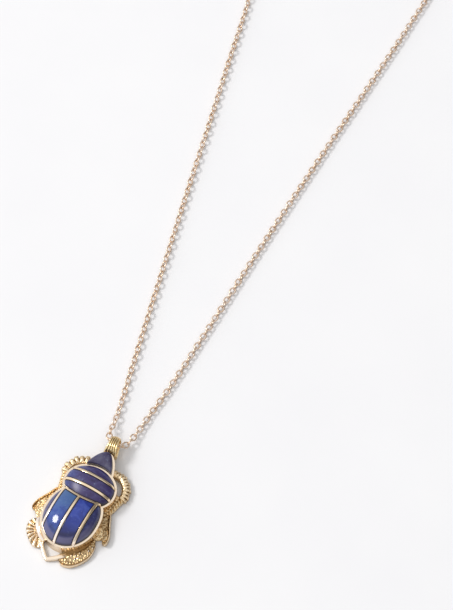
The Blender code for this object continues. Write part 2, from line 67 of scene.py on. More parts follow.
def mesh_object(name, verts, faces, smooth_deg=40.0):
    """Object of closed shells, in millimetres; a point may also carry a painted shade value and a painted
    highlight or reflection value.
    """
    mesh = bpy.data.meshes.new(name)
    mesh.from_pydata([(v[0] * MM, v[1] * MM, v[2] * MM) for v in verts], [], faces)
    for place, label in ((3, "groove"), (4, "painted_sheen")):
        values = mesh.attributes.new(label, "FLOAT", "POINT")
        values.data.foreach_set("value", [v[place] if len(v) > place else 0.0 for v in verts])
    shell = bmesh.new()
    shell.from_mesh(mesh)
    bmesh.ops.remove_doubles(shell, verts=shell.verts, dist=WELD_METRES)
    bmesh.ops.recalc_face_normals(shell, faces=shell.faces)
    shell.to_mesh(mesh)
    shell.free()
    mesh.shade_smooth()
    mesh.set_sharp_from_angle(angle=math.radians(smooth_deg))
    thing = bpy.data.objects.new(name, mesh)
    scene.collection.objects.link(thing)
    return thing


def node_maker(tree):
    """Function that adds a node to a tree; values that start with in_ go to its inputs."""
    def add(kind, **values):
        node = tree.nodes.new(kind)
        for key, value in values.items():
            if key.startswith("in_"):
                node.inputs[key[3:].replace("_", " ")].default_value = value
            else:
                setattr(node, key, value)
        return node
    return add


def new_material(name):
    """Empty node material, with its tree, its shader and a function that adds a node."""
    material = bpy.data.materials.new(name)
    material.use_nodes = True
    tree = material.node_tree
    return material, tree, tree.nodes["Principled BSDF"], node_maker(tree)


def ramp(add, stops):
    """Colour ramp from (position, colour) pairs."""
    node = add("ShaderNodeValToRGB")
    while len(node.color_ramp.elements) < len(stops):
        node.color_ramp.elements.new(0.5)
    for element, (position, colour) in zip(node.color_ramp.elements, stops):
        element.position = position
        element.color = (*colour, 1.0)
    return node


def sheet_material():
    """Matt white paper with the faintest mottle."""
    material, tree, shader, add = new_material("white_sheet")
    where = add("ShaderNodeTexCoord")
    mottle = add("ShaderNodeTexNoise", in_Scale=30.0, in_Detail=3.0)
    tint = ramp(add, ((0.3, (0.83, 0.83, 0.85)), (0.7, (0.85, 0.85, 0.865))))
    tree.links.new(where.outputs["Object"], mottle.inputs["Vector"])
    tree.links.new(mottle.outputs["Fac"], tint.inputs["Fac"])
    tree.links.new(tint.outputs["Color"], shader.inputs["Base Color"])
    shader.inputs["Roughness"].default_value = 0.9
    return material


def lamp(name, place, aim, size, energy, colour):
    """Round soft lamp, in metres and watts."""
    light = bpy.data.lights.new(name, "AREA")
    light.shape = "DISK"
    light.size = size
    light.energy = energy
    light.color = colour
    thing = bpy.data.objects.new(name, light)
    scene.collection.objects.link(thing)
    thing.location = place
    thing.rotation_euler = (Vector(aim) - Vector(place)).to_track_quat("-Z", "Y").to_euler()


def pale_room():
    """Surroundings: white overhead, at the left and in front, dim behind and at the right."""
    world = bpy.data.worlds.new("room")
    scene.world = world
    world.use_nodes = True
    tree = world.node_tree
    back = tree.nodes["Background"]
    add = node_maker(tree)
    where = add("ShaderNodeTexCoord")
    split = add("ShaderNodeSeparateXYZ")
    away = add("ShaderNodeVectorMath", operation="DOT_PRODUCT")
    away.inputs[1].default_value = ROOM_AWAY
    walls = ramp(add, [(place, (level, level, level)) for place, level in ROOM_WALLS])
    ceiling = add("ShaderNodeMapRange", interpolation_type="SMOOTHSTEP")
    ceiling.inputs["From Min"].default_value = CEILING_FROM
    ceiling.inputs["From Max"].default_value = CEILING_FULL
    shift = add("ShaderNodeMapRange")
    shift.inputs["From Min"].default_value = -1.0
    room = add("ShaderNodeMix", data_type="RGBA")
    room.inputs["B"].default_value = (ROOM_CEILING, ROOM_CEILING, ROOM_CEILING, 1.0)
    links = tree.links
    links.new(where.outputs["Generated"], split.inputs["Vector"])
    links.new(where.outputs["Generated"], away.inputs[0])
    links.new(away.outputs["Value"], shift.inputs["Value"])
    links.new(shift.outputs["Result"], walls.inputs["Fac"])
    links.new(split.outputs["Z"], ceiling.inputs["Value"])
    links.new(walls.outputs["Color"], room.inputs["A"])
    links.new(ceiling.outputs["Result"], room.inputs["Factor"])
    links.new(room.outputs["Result"], back.inputs["Color"])
    back.inputs["Strength"].default_value = 1.0


sheet_corners = [(x * SHEET_HALF, y * SHEET_HALF, 0) for x, y in ((-1, -1), (1, -1), (1, 1), (-1, 1))]
floor = mesh_object("floor", sheet_corners, [(0, 1, 2, 3)])
floor.data.materials.append(sheet_material())
pale_room()
lamp("window", place=(-1.585, -0.315, 1.907), aim=(0.0, 0.0, 0.0), size=0.74, energy=30.0,
     colour=(1.0, 0.985, 0.965))

# Setting: one gold casting with a floor, an upright wall round wings, thorax and head, and three hollows.
# Its wall has a rounded, polished rim; the outline is the union of two ovals and a blunt arch.
OVAL_POWER = 2.0
WING = (0.0, -3.2, 7.5, 8.5)
WING_FRONT_POWER = 2.4
THORAX = (0.0, 6.2, 7.2, 5.95)
SEAM_MIDDLE, SEAM_SWEEP, SEAM_HALF = 1.9, 1.2, 5.8
HEAD_BASE, HEAD_TIP, HEAD_HALF = 11.2, 16.6, 3.9
HEAD_POWER = 0.85
RIM = 4.0
WALL = 0.55
HEAD_WALL = 0.6
BASE = 1.0
WEB = 0.4
HALVINGS = 40
OPEN_END = 0.01
BEVEL, BEVEL_STEPS = 0.15, 4
# Painted shade on the setting: browner at the foot and below the rim band; painted highlight: paler along
# the rim's top.
FOOT_BAND, FOOT_SHADE = 0.2, 0.42
RIM_BAND, WALL_SHADE = 0.16, 0.10
HIGHLIGHT_BAND, RIM_HIGHLIGHT = 0.1, 0.5
# Painted shade colour for hollows, feet and walls, and painted highlight colour for rims and crowns.
PAINTED_SHADE_BROWN = (0.20, 0.11, 0.035)
PAINTED_HIGHLIGHT_PALE = (1.0, 0.89, 0.80)


def gold(name, colour, roughness, grain=0.0, grain_scale=900.0):
    """Polished gold alloy: uneven in tint and polish, browner where painted shade is set and paler where a
    painted highlight is set.
    """
    material, tree, shader, add = new_material(name)
    where = add("ShaderNodeTexCoord")
    cloud = add("ShaderNodeTexNoise", in_Scale=260.0, in_Detail=4.0)
    deep = tuple(c * share for c, share in zip(colour, (0.92, 0.84, 0.74)))
    tint = ramp(add, ((0.35, deep), (0.65, colour)))
    polish = add("ShaderNodeMapRange", in_From_Min=0.3, in_From_Max=0.7, in_To_Min=roughness * 0.8,
                 in_To_Max=roughness * 1.3)
    # Painted highlight: the base colour is mixed towards pale by the sheen value of each point.
    sheen_mask = add("ShaderNodeAttribute", attribute_name="painted_sheen")
    pale = add("ShaderNodeMix", data_type="RGBA")
    pale.inputs["B"].default_value = (*PAINTED_HIGHLIGHT_PALE, 1.0)
    # Painted shade: the colour is mixed towards brown by the groove value of each point.
    groove = add("ShaderNodeAttribute", attribute_name="groove")
    painted_shade = add("ShaderNodeMix", data_type="RGBA")
    painted_shade.inputs["B"].default_value = (*PAINTED_SHADE_BROWN, 1.0)
    links = tree.links
    links.new(where.outputs["Object"], cloud.inputs["Vector"])
    links.new(cloud.outputs["Fac"], tint.inputs["Fac"])
    links.new(cloud.outputs["Fac"], polish.inputs["Value"])
    links.new(groove.outputs["Fac"], painted_shade.inputs["Factor"])
    links.new(tint.outputs["Color"], pale.inputs["A"])
    links.new(sheen_mask.outputs["Fac"], pale.inputs["Factor"])
    links.new(pale.outputs["Result"], painted_shade.inputs["A"])
    links.new(painted_shade.outputs["Result"], shader.inputs["Base Color"])
    links.new(polish.outputs["Result"], shader.inputs["Roughness"])
    shader.inputs["Metallic"].default_value = 1.0
    if grain:
        fine = add("ShaderNodeTexNoise", in_Scale=grain_scale, in_Detail=3.0)
        bump = add("ShaderNodeBump", in_Strength=grain, in_Distance=0.0001)
        links.new(where.outputs["Object"], fine.inputs["Vector"])
        links.new(fine.outputs["Fac"], bump.inputs["Height"])
        links.new(bump.outputs["Normal"], shader.inputs["Normal"])
    return material


def oval_y(oval, x, side, inset=0.0):
    """The y of an oval's rear (-1) or front (1) edge at x; the wing cases are squarer in front."""
    _, y, a, b = oval
    power = WING_FRONT_POWER if oval is WING and side > 0 else OVAL_POWER
    inside = max(0.0, 1 - abs(x / (a - inset)) ** power)
    return y + side * (b - inset) * inside ** (1 / power)


def head_y(x, inset=0.0):
    """Front edge of the head at x."""
    share = min(1.0, abs(x) / (HEAD_HALF - inset))
    return HEAD_BASE + (HEAD_TIP - inset - HEAD_BASE) * (1 - share ** 2) ** HEAD_POWER


def seam_y(x):
    """Line between thorax and wing cases."""
    return SEAM_MIDDLE + SEAM_SWEEP * (x / SEAM_HALF) ** 2


def cosine_steps(low, high, count):
    """Positions from low to high, closer together at both ends."""
    return [(low + high) / 2 - (high - low) / 2 * math.cos(math.pi * i / count) for i in range(count + 1)]


def crossing(low, high, widest):
    """Largest x at which a region between two curves is still open."""
    a, b = 0.0, widest
    for _ in range(HALVINGS):
        middle = (a + b) / 2
        a, b = (middle, b) if high(middle) > low(middle) else (a, middle)
    return a


def between(xs, low, high):
    """Outline of the region between two curves."""
    return [(x, low(x)) for x in xs] + [(x, high(x)) for x in reversed(xs)]


def block(outline, bottom, top):
    """Upright solid on an outline."""
    n = len(outline)
    verts = [(x, y, bottom) for x, y in outline] + [(x, y, top) for x, y in outline]
    faces = [tuple(range(n)), tuple(range(n, 2 * n))]
    faces += [(i, (i + 1) % n, n + (i + 1) % n, n + i) for i in range(n)]
    return mesh_object("block", verts, faces)


def region(half, steps, low, high, bottom, top):
    """Upright solid between two curves, from -half to half."""
    return block(between(cosine_steps(-half, half, steps), low, high), bottom, top)


def baked(thing):
    """Object with its live modifiers turned into plain mesh."""
    bpy.context.view_layer.update()
    mesh = bpy.data.meshes.new_from_object(thing.evaluated_get(bpy.context.evaluated_depsgraph_get()))
    thing.modifiers.clear()
    thing.data = mesh
    return thing


def merge(base, tools, operation):
    """Joins the tools to an object or cuts them from it, and removes them."""
    for tool in tools:
        step = base.modifiers.new("step", "BOOLEAN")
        step.operation = operation
        step.object = tool
        baked(base)
        bpy.data.objects.remove(tool)
    return base


def setting_body():
    """Floor and walls, with bevelled rims."""
    body = region(WING[2], 90, lambda x: oval_y(WING, x, -1), lambda x: oval_y(WING, x, 1), 0.0, RIM)
    thorax = region(THORAX[2], 90, lambda x: oval_y(THORAX, x, -1), lambda x: oval_y(THORAX, x, 1), 0.0, RIM)
    head = region(HEAD_HALF, 60, lambda x: THORAX[1], head_y, 0.0, RIM)
    merge(body, [thorax, head], "UNION")

    def wing_low(x):
        return oval_y(WING, x, -1, WALL)

    def wing_high(x):
        return min(oval_y(WING, x, 1, WALL), seam_y(x) - WEB / 2)

    def thorax_low(x):
        return max(oval_y(THORAX, x, -1, WALL), seam_y(x) + WEB / 2)

    def thorax_high(x):
        return oval_y(THORAX, x, 1, WALL)

    def head_low(x):
        return oval_y(THORAX, x, 1)

    def head_high(x):
        return head_y(x, HEAD_WALL)

    wing_end = WING[2] - WALL - OPEN_END
    thorax_end = THORAX[2] - WALL - OPEN_END
    head_end = crossing(head_low, head_high, HEAD_HALF) - OPEN_END
    cuts = [region(wing_end, 90, wing_low, wing_high, BASE, RIM + 1),
            region(thorax_end, 90, thorax_low, thorax_high, BASE, RIM + 1),
            region(head_end, 50, head_low, head_high, BASE, RIM + 1)]
    merge(body, cuts, "DIFFERENCE")
    bevel = body.modifiers.new("bevel", "BEVEL")
    bevel.width = BEVEL * MM
    bevel.segments = BEVEL_STEPS
    bevel.limit_method = "ANGLE"
    bevel.angle_limit = math.radians(50)
    baked(body)
    body.name = body.data.name = "setting_body"
    heights = [v.co.z / MM for v in body.data.vertices]
    # Painted shade below the rim and darkest at the foot, painted highlight on the rim's top.
    painted_shades = [FOOT_SHADE if z < FOOT_BAND else WALL_SHADE if z < RIM - RIM_BAND else 0.0 for z in heights]
    rim_highlight = [0.0 if z < RIM - HIGHLIGHT_BAND else RIM_HIGHLIGHT for z in heights]
    for label, values in (("groove", painted_shades), ("painted_sheen", rim_highlight)):
        body.data.attributes[label].data.foreach_set("value", values)
    body.data.shade_smooth()
    body.data.set_sharp_from_angle(angle=math.radians(38))
    return body


SETTING_GOLD = gold("cast_gold", (0.96, 0.77, 0.51), 0.16)
body = setting_body()
body.data.materials.append(SETTING_GOLD)
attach(body, "root")
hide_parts("setting")

# Bars: flat polished strips of the same casting that stand between the stones and follow their domes.
# Three run the length of the wing cases, two cross the thorax and one curved bar lies on the seam.
BAR = 0.65
DIVIDERS = (-5.1, -0.2, 4.4)
THORAX_BARS = (5.1, 8.5)
SEAM_END = 5.3
BAR_PROUD = 0.15
SEAM_PROUD, SEAM_TAPER = 0.25, 0.5
BAR_FOOT = 0.2
BAR_PROFILE = ((-1.0, -0.12), (-1.0, 0.35), (-0.93, 0.68), (-0.76, 0.92), (-0.4, 1.0), (0.0, 1.03),
               (0.4, 1.0), (0.76, 0.92), (0.93, 0.68), (1.0, 0.35), (1.0, -0.12))
WING_CROWN, THORAX_CROWN = 3.7, 3.1
THORAX_OVERRUN = 0.9
DOME_POWER = 0.55


def dome(across, along, crown, power=OVAL_POWER):
    """Height of a dome on the rim, at shares of its half width and half length."""
    inside = max(0.0, 1 - (abs(across) ** power + abs(along) ** power) ** (2 / power))
    return RIM + crown * inside ** DOME_POWER


def wing_top(x, y):
    """Height of the wing cases."""
    power = WING_FRONT_POWER if y > WING[1] else OVAL_POWER
    return dome(x / (WING[2] - WALL), (y - WING[1]) / (WING[3] - WALL), WING_CROWN, power)


def thorax_top(x, y):
    """Height of the thorax, whose dome runs on past the seam at its middle."""
    reach = THORAX[3] - WALL
    if y < THORAX[1]:
        reach += THORAX_OVERRUN * max(0.0, 1 - (x / SEAM_HALF) ** 2)
    return dome(x / (THORAX[2] - WALL), (y - THORAX[1]) / reach, THORAX_CROWN)


def eased(value, low, high):
    """0 below low, 1 above high and smooth between."""
    share = min(1.0, max(0.0, (value - low) / (high - low)))
    return share * share * (3 - 2 * share)


def bar_highlight(x, y):
    """How much painted highlight a place on a bar gets: most at the rear and at the left."""
    return 0.25 + 0.75 * max(0.0, min(1.0, (-y - 0.7 * x - 2.0) / 6.0))


def sweep_bar(points, top, proud, round_end=0.0):
    """Strip along points, its rounded crown proud of the dome, and its ends tapered over round_end."""
    verts = []
    n = len(points)
    for i, (x, y) in enumerate(points):
        x0, y0 = points[max(0, i - 1)]
        x1, y1 = points[min(n - 1, i + 1)]
        length = math.hypot(x1 - x0, y1 - y0)
        nx, ny = (y1 - y0) / length, (x0 - x1) / length
        to_end = min(math.dist((x, y), points[0]), math.dist((x, y), points[-1]))
        share = 1.0
        if round_end:
            share = math.sqrt(max(0.02, 1 - max(0.0, 1 - to_end / round_end) ** 2))
        half = BAR / 2 * share
        for u, lift in BAR_PROFILE:
            px, py = x + nx * u * half, y + ny * u * half
            # Painted shade at the bar's foot against the stones and over its hidden underside; painted
            # highlight on its crown.
            foot = eased(1 - lift, 0.05, 0.6)
            verts.append((px, py, top(px, py) + proud * (lift * share - (1 - share)), 0.75 * foot,
                          bar_highlight(px, py) * (1 - foot)))
        verts.append((x + nx * half, y + ny * half, BASE - BAR_FOOT, 1.0))
        verts.append((x - nx * half, y - ny * half, BASE - BAR_FOOT, 1.0))
    size = len(BAR_PROFILE) + 2
    faces = []
    for i in range(n - 1):
        for j in range(size):
            k = (j + 1) % size
            faces.append((i * size + j, (i + 1) * size + j, (i + 1) * size + k, i * size + k))
    faces.append(tuple(range(size)))
    faces.append(tuple((n - 1) * size + j for j in range(size)))
    return verts, faces


def joined(name, parts, smooth_deg=40.0):
    """One object from several vertex and face lists."""
    verts = []
    faces = []
    for part_verts, part_faces in parts:
        start = len(verts)
        verts += part_verts
        faces += [tuple(start + i for i in face) for face in part_faces]
    return mesh_object(name, verts, faces, smooth_deg)


def bar_parts():
    """All six bars."""
    parts = []
    for x in DIVIDERS:
        ys = cosine_steps(oval_y(WING, x, -1, WALL / 2), seam_y(x), 80)
        parts.append(sweep_bar([(x, y) for y in ys], wing_top, BAR_PROUD))
    for y in THORAX_BARS:
        ratio = (y - THORAX[1]) / (THORAX[3] - WALL / 2)
        end = (THORAX[2] - WALL / 2) * math.sqrt(1 - ratio ** 2)
        parts.append(sweep_bar([(x, y) for x in cosine_steps(-end, end, 80)], thorax_top, BAR_PROUD))
    seam = [(x, seam_y(x)) for x in cosine_steps(-SEAM_END, SEAM_END, 90)]
    parts.append(sweep_bar(seam, lambda x, y: max(wing_top(x, y), thorax_top(x, y)), SEAM_PROUD, SEAM_TAPER))
    return parts


bars = joined("setting_bars", bar_parts())
bars.data.materials.append(SETTING_GOLD)
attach(bars, "root")
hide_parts("setting")

# Legs and tail: arms of the same casting, low relief on a flat underside, three pairs and a pointed tail.
# Front pair toothed bows on feathered stems, middle pair narrow leaves, hind pair broad leaves, the left one
# ribbed like a fan with a plain thigh beside it and the right one hammered.
CURVE_DETAIL = 20
RELIEF_COLUMNS = 30
# Painted shade on the undersides of the arms.
UNDERSIDE_SHADE = 0.3
BROAD_LIFT, NARROW_LIFT, TAIL_LIFT = 0.25, 0.35, 0.3
BOW_CENTRE = (3.9, 8.6)
BOW_START, BOW_SPAN = -12, 114
BOW_INSIDE, BOW_OUTSIDE, TOOTH_LENGTH = 3.45, 5.05, 0.68
BOW_TEETH = {1: 11, -1: 7}
BOW_CUT = {1: (0.55, 0.4), -1: (0.15, 0.42)}
TOOTH_SIZES = (0.9, 1.1, 0.8, 1.15, 0.95, 1.1, 0.85, 1.15, 1.0, 0.8, 0.9)
STEM_INNER = ((5.6, 2.7), (6.2, 4.0), (6.2, 7.0), (6.4, 8.4))
STEM_OUTER = ((7.6, 2.6), (8.1, 4.0), (8.5, 5.6), (8.8, 6.9), (9.2, 7.9))
MIDDLE_RIM = 0.84
MIDDLE_INNER = ((5.7, 2.3), (6.6, -1.2), (7.6, -1.4), (8.3, -2.1), (8.8, -3.1), (9.3, -4.1), (10.0, -4.95))
MIDDLE_OUTER = ((7.3, 3.7), (8.1, 2.9), (9.05, 1.0), (9.9, -0.7), (10.5, -1.9), (10.85, -3.1), (10.9, -4.3),
                (10.5, -4.95))
FAN_POINT = (5.9, -9.0)
FAN_RIBS = 2.6
KNEE_INNER = {1: ((6.7, -0.9), (7.0, -4.2), (7.6, -4.8)), -1: ((6.7, -0.9), (6.9, -5.6), (7.8, -6.3))}
KNEE_OUTER = {1: ((7.9, -1.0), (9.2, -2.6), (9.1, -3.7), (8.3, -4.5)),
              -1: ((7.9, -1.0), (9.2, -3.1), (9.9, -4.6), (9.3, -5.5), (8.6, -6.2))}
HIND_RIM = 0.9
HIND_INNER = {1: ((7.1, -4.0), (7.0, -5.5), (6.4, -7.3), (5.3, -8.9), (4.0, -10.1), (2.5, -10.9),
                  (1.7, -12.3)),
              -1: ((7.2, -5.6), (6.4, -8.4), (5.3, -10.0), (4.0, -11.2), (3.2, -12.0), (3.6, -12.9))}
HIND_OUTER = {1: ((8.0, -4.8), (8.7, -6.2), (9.0, -7.6), (9.0, -9.0), (8.5, -10.6), (7.5, -12.3),
                  (6.3, -13.6), (5.1, -14.3), (3.6, -14.5), (2.3, -13.7), (1.9, -13.2)),
              -1: ((8.3, -6.6), (9.1, -7.2), (9.5, -8.0), (9.5, -9.0), (9.2, -10.1), (8.5, -11.1),
                   (7.5, -12.1), (6.4, -12.9), (5.4, -13.4), (4.4, -13.4))}
LEFT_THIGH_INNER = ((7.0, -5.4), (6.2, -7.4), (5.0, -9.2), (3.4, -10.4), (3.2, -11.0))
LEFT_THIGH_OUTER = ((7.8, -6.1), (8.15, -6.7), (8.1, -7.5), (7.4, -8.8), (6.2, -10.1), (4.8, -11.1),
                    (3.5, -11.4))
TAIL_INNER = {1: ((2.9, -11.2), (2.5, -11.8), (1.9, -12.4), (1.0, -13.2), (0.1, -13.9), (-0.5, -14.3)),
              -1: ((3.3, -10.4), (3.2, -11.4), (2.7, -12.2), (1.5, -13.4), (0.5, -14.3))}
TAIL_OUTER = {1: ((3.9, -11.6), (3.6, -12.3), (2.8, -13.1), (1.7, -14.0), (0.6, -14.75), (-0.5, -15.3)),
              -1: ((4.3, -10.4), (4.3, -11.6), (3.6, -12.5), (2.6, -13.6), (1.2, -14.9), (0.5, -15.3))}


def curve_point(a, b, c, d, t):
    """The place at share t between b and c on a smooth curve through a, b, c and d."""
    return (2 * b + (c - a) * t + (2 * a - 5 * b + 4 * c - d) * t * t + (3 * b - a - 3 * c + d) * t ** 3) / 2


def smooth_line(points, count):
    """Evenly spaced points on a smooth open curve through points."""
    points = [np.array(p, float) for p in points]
    ends = [2 * points[0] - points[1]] + points + [2 * points[-1] - points[-2]]
    curve = []
    for i in range(1, len(ends) - 2):
        curve += [curve_point(*ends[i - 1:i + 3], step / CURVE_DETAIL) for step in range(CURVE_DETAIL)]
    curve.append(points[-1])
    curve = np.array(curve)
    lengths = np.concatenate(([0.0], np.cumsum(np.linalg.norm(np.diff(curve, axis=0), axis=1))))
    even = np.linspace(0, lengths[-1], count)
    return np.stack([np.interp(even, lengths, curve[:, k]) for k in range(curve.shape[1])], 1)


def relief(inner, outer, height, bottom, side):
    """Closed slab between two edges of equal count; height(s, u, x, y) gives its top, its painted shade and
    its painted highlight.
    """
    rows = len(inner)
    columns = RELIEF_COLUMNS
    verts = []
    for i in range(rows):
        for j in range(columns + 1):
            u = 0.5 - 0.5 * math.cos(math.pi * j / columns)
            x, y = inner[i] * (1 - u) + outer[i] * u
            verts.append((side * x, y, *height(i / (rows - 1), u, x, y)))
    size = columns + 1
    below = rows * size
    # The underside edges carry painted shade.
    for i in range(rows):
        for x, y in (inner[i], outer[i]):
            verts.append((side * x, y, bottom, UNDERSIDE_SHADE))
    faces = []
    for i in range(rows - 1):
        for j in range(columns):
            a, b = i * size + j, (i + 1) * size + j
            faces.append((a, b, b + 1, a + 1))
        low = below + 2 * i
        faces.append((low, low + 1, low + 3, low + 2))
        faces.append((i * size, low, low + 2, (i + 1) * size))
        faces.append((i * size + columns, (i + 1) * size + columns, low + 3, low + 1))
    for i in (0, rows - 1):
        faces.append(tuple(i * size + j for j in range(size)) + (below + 2 * i + 1, below + 2 * i))
    return verts, faces


def rounded(u, power=OVAL_POWER):
    """1 in the middle of an edge-to-edge span and 0 at both edges."""
    return max(0.0, 1 - abs(2 * u - 1) ** power) ** (1 / power)


def lobe(phase, power=2.4):
    """1 on the crown of each tooth or rib, 0 in the groove between two."""
    return max(0.0, 1 - abs(2 * (phase % 1.0) - 1) ** power)


def dents(x, y, size, deep):
    """Hammered surface: small uneven facets."""
    return deep * noise.noise(Vector((x / size, y / size, 3.0)), noise_basis="VORONOI_F2F1")


def bow_edges(count, teeth):
    """Inner and outer edge of a front leg from beside the wing case to the head, toothed outside."""
    inner, outer = [], []
    for i in range(count):
        share = i / (count - 1)
        angle = math.radians(BOW_START + BOW_SPAN * share)
        size = TOOTH_SIZES[min(teeth - 1, int(teeth * share))]
        outside = BOW_OUTSIDE + TOOTH_LENGTH * size * lobe(teeth * share, 3.4) ** 0.6
        for edge, radius in ((inner, BOW_INSIDE), (outer, outside)):
            edge.append((BOW_CENTRE[0] + radius * math.cos(angle), BOW_CENTRE[1] + radius * math.sin(angle)))
    return np.array(inner), np.array(outer)


def bow_height(teeth, teeth_from, depth):
    """Front leg: a smooth swelling with rounded teeth from a share of its width outwards."""
    def height(s, u, x, y):
        tooth = lobe(teeth * s, 3.2)
        size = TOOTH_SIZES[min(teeth - 1, int(teeth * s))]
        cut = (1 - tooth) * eased(u, teeth_from, teeth_from + 0.3)
        top = 1.25 + 0.8 * rounded(u, 2.4) * (1 + 0.15 * (size - 1) * tooth) - depth * cut
        # Painted shade in the gaps between teeth and a painted highlight on their crowns.
        return top + dents(x, y, 0.7, 0.07), 0.16 + 0.5 * cut ** 1.5, 0.15 * tooth
    return height


def stem_height(s, u, x, y):
    """Two rows of slanting ribs on either side of a shallow groove."""
    rib = lobe(6.5 * s + 0.9 * abs(2 * u - 1), 2.4)
    spine = math.exp(-((u - 0.5) / 0.07) ** 2)
    top = 1.15 + 0.5 * rounded(u, 2.5) - 0.28 * (1 - rib) * rounded(u, 3.0) - 0.15 * spine
    # Painted shade between the ribs and along the spine.
    return top + dents(x, y, 0.5, 0.1), min(1.0, 0.1 + 0.4 * (1 - rib) ** 1.3 + 0.3 * spine)


def middle_height(painted_shade):
    """Rough leaf with a smooth rim along its outer edge, darker the more painted shade it is given."""
    def height(s, u, x, y):
        if u > MIDDLE_RIM:
            # The rim takes half the painted shade and a light painted highlight.
            return 1.0 + 0.7 * rounded((u - MIDDLE_RIM) / (1 - MIDDLE_RIM)), painted_shade / 2, 0.2
        rib = lobe(5 * s + 1.2 * u, 2.4)
        across = u / MIDDLE_RIM
        top = 0.85 + 0.5 * rounded(across, 2.5) - 0.2 * (1 - rib) * rounded(across, 3.0)
        # Painted shade between the ribs and towards the rim.
        brown = painted_shade + 0.35 * (1 - rib) ** 1.5 + eased(u, 0.7, MIDDLE_RIM) * 0.3
        return top + dents(x, y, 0.5, 0.24), min(1.0, brown)
    return height


def knee_height(s, u, x, y):
    """Low web between a middle and a hind leg."""
    # Even painted shade over the web.
    return 0.75 + 0.45 * rounded(u, 2.5) + dents(x, y, 0.6, 0.14), 0.2


def fan_height(s, u, x, y):
    """Left hind leaf: deep ribs that fan out from a point at the wing case."""
    turn = math.atan2(FAN_POINT[1] - y, x - FAN_POINT[0])
    rib = lobe(turn * FAN_RIBS, 1.8)
    spread_out = eased(math.dist((x, y), FAN_POINT), 0.4, 1.6)
    top = 0.8 + 0.6 * rounded(u, 3.4) - 0.5 * (1 - rib) * spread_out * rounded(u, 8.0)
    # Painted shade between the ribs and a painted highlight on their crowns.
    return top + dents(x, y, 0.5, 0.06), min(1.0, 0.85 * (1 - rib) ** 1.2 * spread_out), 0.5 * rib


def hammered_height(s, u, x, y):
    """Right hind leaf: low at the wall, then a hammered body with painted highlights on its facets, a groove
    with painted shade and a thin smooth rim.
    """
    # The rim gets a little painted shade and a painted highlight.
    if u > HIND_RIM:
        return 0.85 + 0.45 * rounded((u - HIND_RIM) / (1 - HIND_RIM)), 0.15, 0.3
    facet = dents(x, y, 0.75, 1.0)
    on_body = max(eased(u, 0.1, 0.28), eased(s, 0.8, 0.9)) * (1 - eased(u, 0.82, HIND_RIM))
    top = 0.85 + 0.5 * on_body + (facet - 0.35) * 0.22 * on_body
    # Painted shade on the low parts and in the deeper dents, painted highlight on the raised facets.
    brown = 0.22 * (1 - on_body) + 0.55 * eased(0.10 - facet, 0.0, 0.1)
    return top, brown, on_body * eased(facet, 0.03, 0.2)


def thigh_height(s, u, x, y):
    """Plain lens, polished, that falls away to both ends."""
    edge = 1 - rounded(u, 2.4)
    swell = math.sin(math.pi * min(1.0, 0.12 + 0.84 * s))
    # Painted shade at its edges and a pale painted highlight along its middle.
    return 0.95 + 1.1 * swell * rounded(u, 2.1), eased(edge, 0.3, 0.9), eased(1 - edge, 0.3, 0.7)


def tail_height(s, u, x, y):
    """Flat-topped bar with rounded edges, that sinks away at its root."""
    # Painted shade at its edges and a painted highlight over all of it.
    return 0.92 + 0.45 * rounded(u, 3.6) - 0.4 * (1 - eased(s, 0.0, 0.25)), 0.3 * (1 - rounded(u, 4.0)), 0.6


def leg_parts():
    """Every arm of the casting, right and left."""
    parts = []
    for side in (1, -1):
        teeth = BOW_TEETH[side]
        hind = hammered_height if side == 1 else fan_height
        parts.append(relief(*bow_edges(260, teeth), bow_height(teeth, *BOW_CUT[side]), BROAD_LIFT, side))
        # The right middle leaf, on the side away from the lamp, is given more painted shade than the left.
        arms = [(STEM_INNER, STEM_OUTER, 130, stem_height, NARROW_LIFT),
                (MIDDLE_INNER, MIDDLE_OUTER, 150, middle_height(0.5 if side == 1 else 0.1), BROAD_LIFT),
                (KNEE_INNER[side], KNEE_OUTER[side], 60, knee_height, NARROW_LIFT),
                (HIND_INNER[side], HIND_OUTER[side], 200, hind, BROAD_LIFT),
                (TAIL_INNER[side], TAIL_OUTER[side], 60, tail_height, TAIL_LIFT)]
        if side == -1:
            arms.append((LEFT_THIGH_INNER, LEFT_THIGH_OUTER, 90, thigh_height, NARROW_LIFT))
        for inner, outer, count, height, bottom in arms:
            parts.append(relief(smooth_line(inner, count), smooth_line(outer, count), height, bottom, side))
    return parts


legs = joined("setting_legs", leg_parts(), 50.0)
legs.data.materials.append(gold("leg_gold", (0.95, 0.76, 0.48), 0.25, 0.3, 1500.0))
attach(legs, "root")
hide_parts("setting")

# Stones: lapis lazuli, cut to fit between the bars, polished to the dome and bedded in the hollows.
# The two broad wing stones are a clear royal blue; the others are darker, greyer and more speckled.
STONE_GAP = 0.05
STONE_STEPS = 44
EDGE_ROUND, EDGE_DROP, EDGE_DARK = 0.16, 0.10, 0.42
HEAD_EDGE, HEAD_CROWN, HEAD_ROOT = 0.85, 0.85, 0.4
CALCITE = (0.20, 0.27, 0.40)
PYRITE = (0.62, 0.50, 0.24)
# Painted shade colour for the edges of each stone.
EDGE_SHADE_DARK = (0.012, 0.009, 0.022)
# Painted reflection colour: a greyish band along the rear rim of the wing stones.
PAINTED_REFLECTION_BLUE = (0.120, 0.112, 0.205)
CLOUD_SHIFT = 6.0


